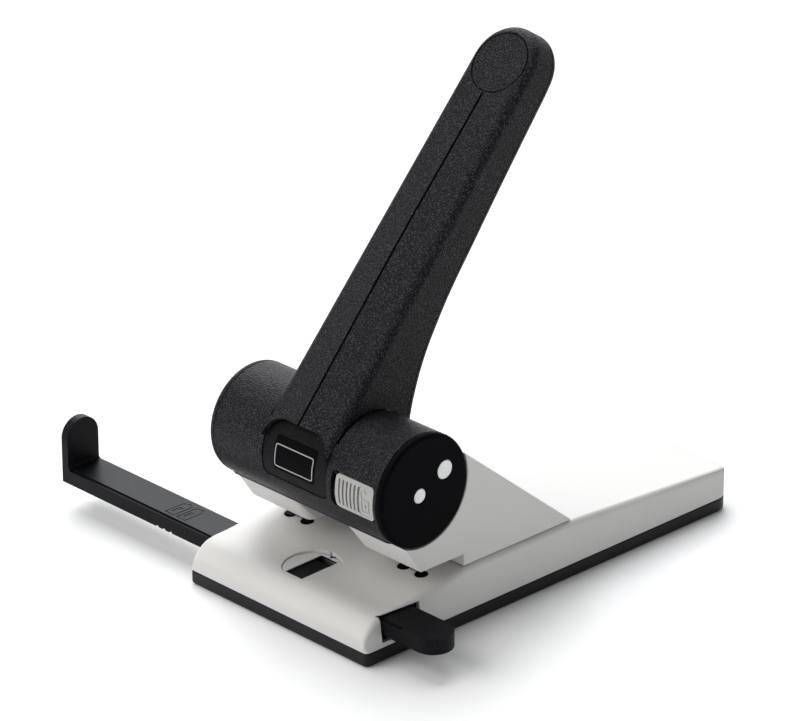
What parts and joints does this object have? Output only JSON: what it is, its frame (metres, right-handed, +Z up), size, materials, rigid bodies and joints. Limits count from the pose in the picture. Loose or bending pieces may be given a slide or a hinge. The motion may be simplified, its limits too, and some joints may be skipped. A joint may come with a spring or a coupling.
{
  "type": "heavy duty two-hole punch",
  "caption": "Heavy duty desk hole punch with a long lever on a drum, twin legs over a paper table, a side rail and a chip tray.",
  "frame": {"origin": "middle of the underside, on the face of the centre anti-slip pad", "axes": "+Z up, +X along the drum towards the rail's rounded end, +Y to the rear, away from the paper table"},
  "size_m": [0.2673, 0.2536, 0.2631],
  "materials": {
    "light_grey_housing": "light grey satin powder coat",
    "black_tray": "black moulded plastic, semi-matt",
    "black_rubber": "black anti-slip rubber",
    "black_textured": "black moulded plastic with a fine spark-eroded grain",
    "black_matte": "deep matt black plastic",
    "black_satin": "dark grey-black satin plastic",
    "slider_grey": "light grey satin plastic",
    "bright_steel": "bright turned steel",
    "brass": "turned brass",
    "steel": "plain machined steel"
  },
  "bodies": {
    "base": {"base_tray": "black_tray", "anti_slip_pad_1": "black_rubber", "anti_slip_pad_2": "black_rubber", "anti_slip_pad_3": "black_rubber", "anti_slip_pad_4": "black_rubber", "anti_slip_pad_5": "black_rubber", "flap_pin": "steel", "tray_screw_1": "steel", "tray_screw_2": "steel", "tray_screw_3": "steel", "tray_screw_4": "steel", "base_cover": "light_grey_housing", "format_window": "light_grey_housing", "punch_housing": "light_grey_housing", "frame_base": "steel", "rail_spring": "steel", "table_stud_1": "black_matte", "table_stud_2": "black_matte", "table_stud_3": "black_matte", "table_stud_4": "black_matte", "frame_plate_left": "steel", "axle_bush_left": "brass", "die_left": "steel", "guide_bracket_left": "steel", "punch_guide_left": "brass", "guide_pin_left": "bright_steel", "end_cap_left": "black_matte", "frame_plate_right": "steel", "axle_bush_right": "brass", "die_right": "steel", "guide_bracket_right": "steel", "punch_guide_right": "brass", "guide_pin_right": "bright_steel", "end_cap_right": "black_matte", "main_axle": "bright_steel", "drum_cover": "black_textured"},
    "lever": {"lever_front": "black_textured", "lever_rear": "black_textured", "lever_hub": "black_textured", "label_plate": "black_matte", "grip_disc": "black_textured", "crank_plate_left": "steel", "crank_plate_right": "steel", "crank_pin": "steel", "core_rivet_1": "steel", "core_rivet_2": "steel", "lever_spring": "steel"},
    "press": {"press_yoke": "steel", "return_spring_left": "steel", "return_spring_right": "steel", "punch_left": "steel", "punch_right": "steel", "punch_washer_left": "steel", "punch_washer_right": "steel"},
    "lock": {"lock_slider": "slider_grey", "lock_bolt": "steel"},
    "rail": {"side_rail": "black_satin"},
    "chip_flap": {"chip_flap": "black_tray"}
  },
  "joints": [
    {"name": "lever_turn", "type": "hinge", "parent": "base", "child": "lever", "pos_m": [0, -0.0869, 0.0768], "axis": [-1, 0, 0], "range_deg": [0, 50], "stiffness_Nm_per_rad": 0.5, "springref_deg": -57.3},
    {"name": "press_travel", "type": "slide", "parent": "base", "child": "press", "axis": [0, 0, -1], "range_m": [0, 0.0136], "deforming": ["return_spring_left", "return_spring_right"]},
    {"name": "lock_travel", "type": "slide", "parent": "base", "child": "lock", "axis": [1, 0, 0], "range_m": [-0.003, 0]},
    {"name": "rail_travel", "type": "slide", "parent": "base", "child": "rail", "axis": [1, 0, 0], "range_m": [-0.02, 0.1]},
    {"name": "flap_turn", "type": "hinge", "parent": "base", "child": "chip_flap", "pos_m": [0, 0.0889, 0.0031], "axis": [1, 0, 0], "range_deg": [0, 90]}
  ],
  "couplings": [
    {"joint": "press_travel", "follows": "lever_turn", "m_per_rad": 0.01549}
  ]
}
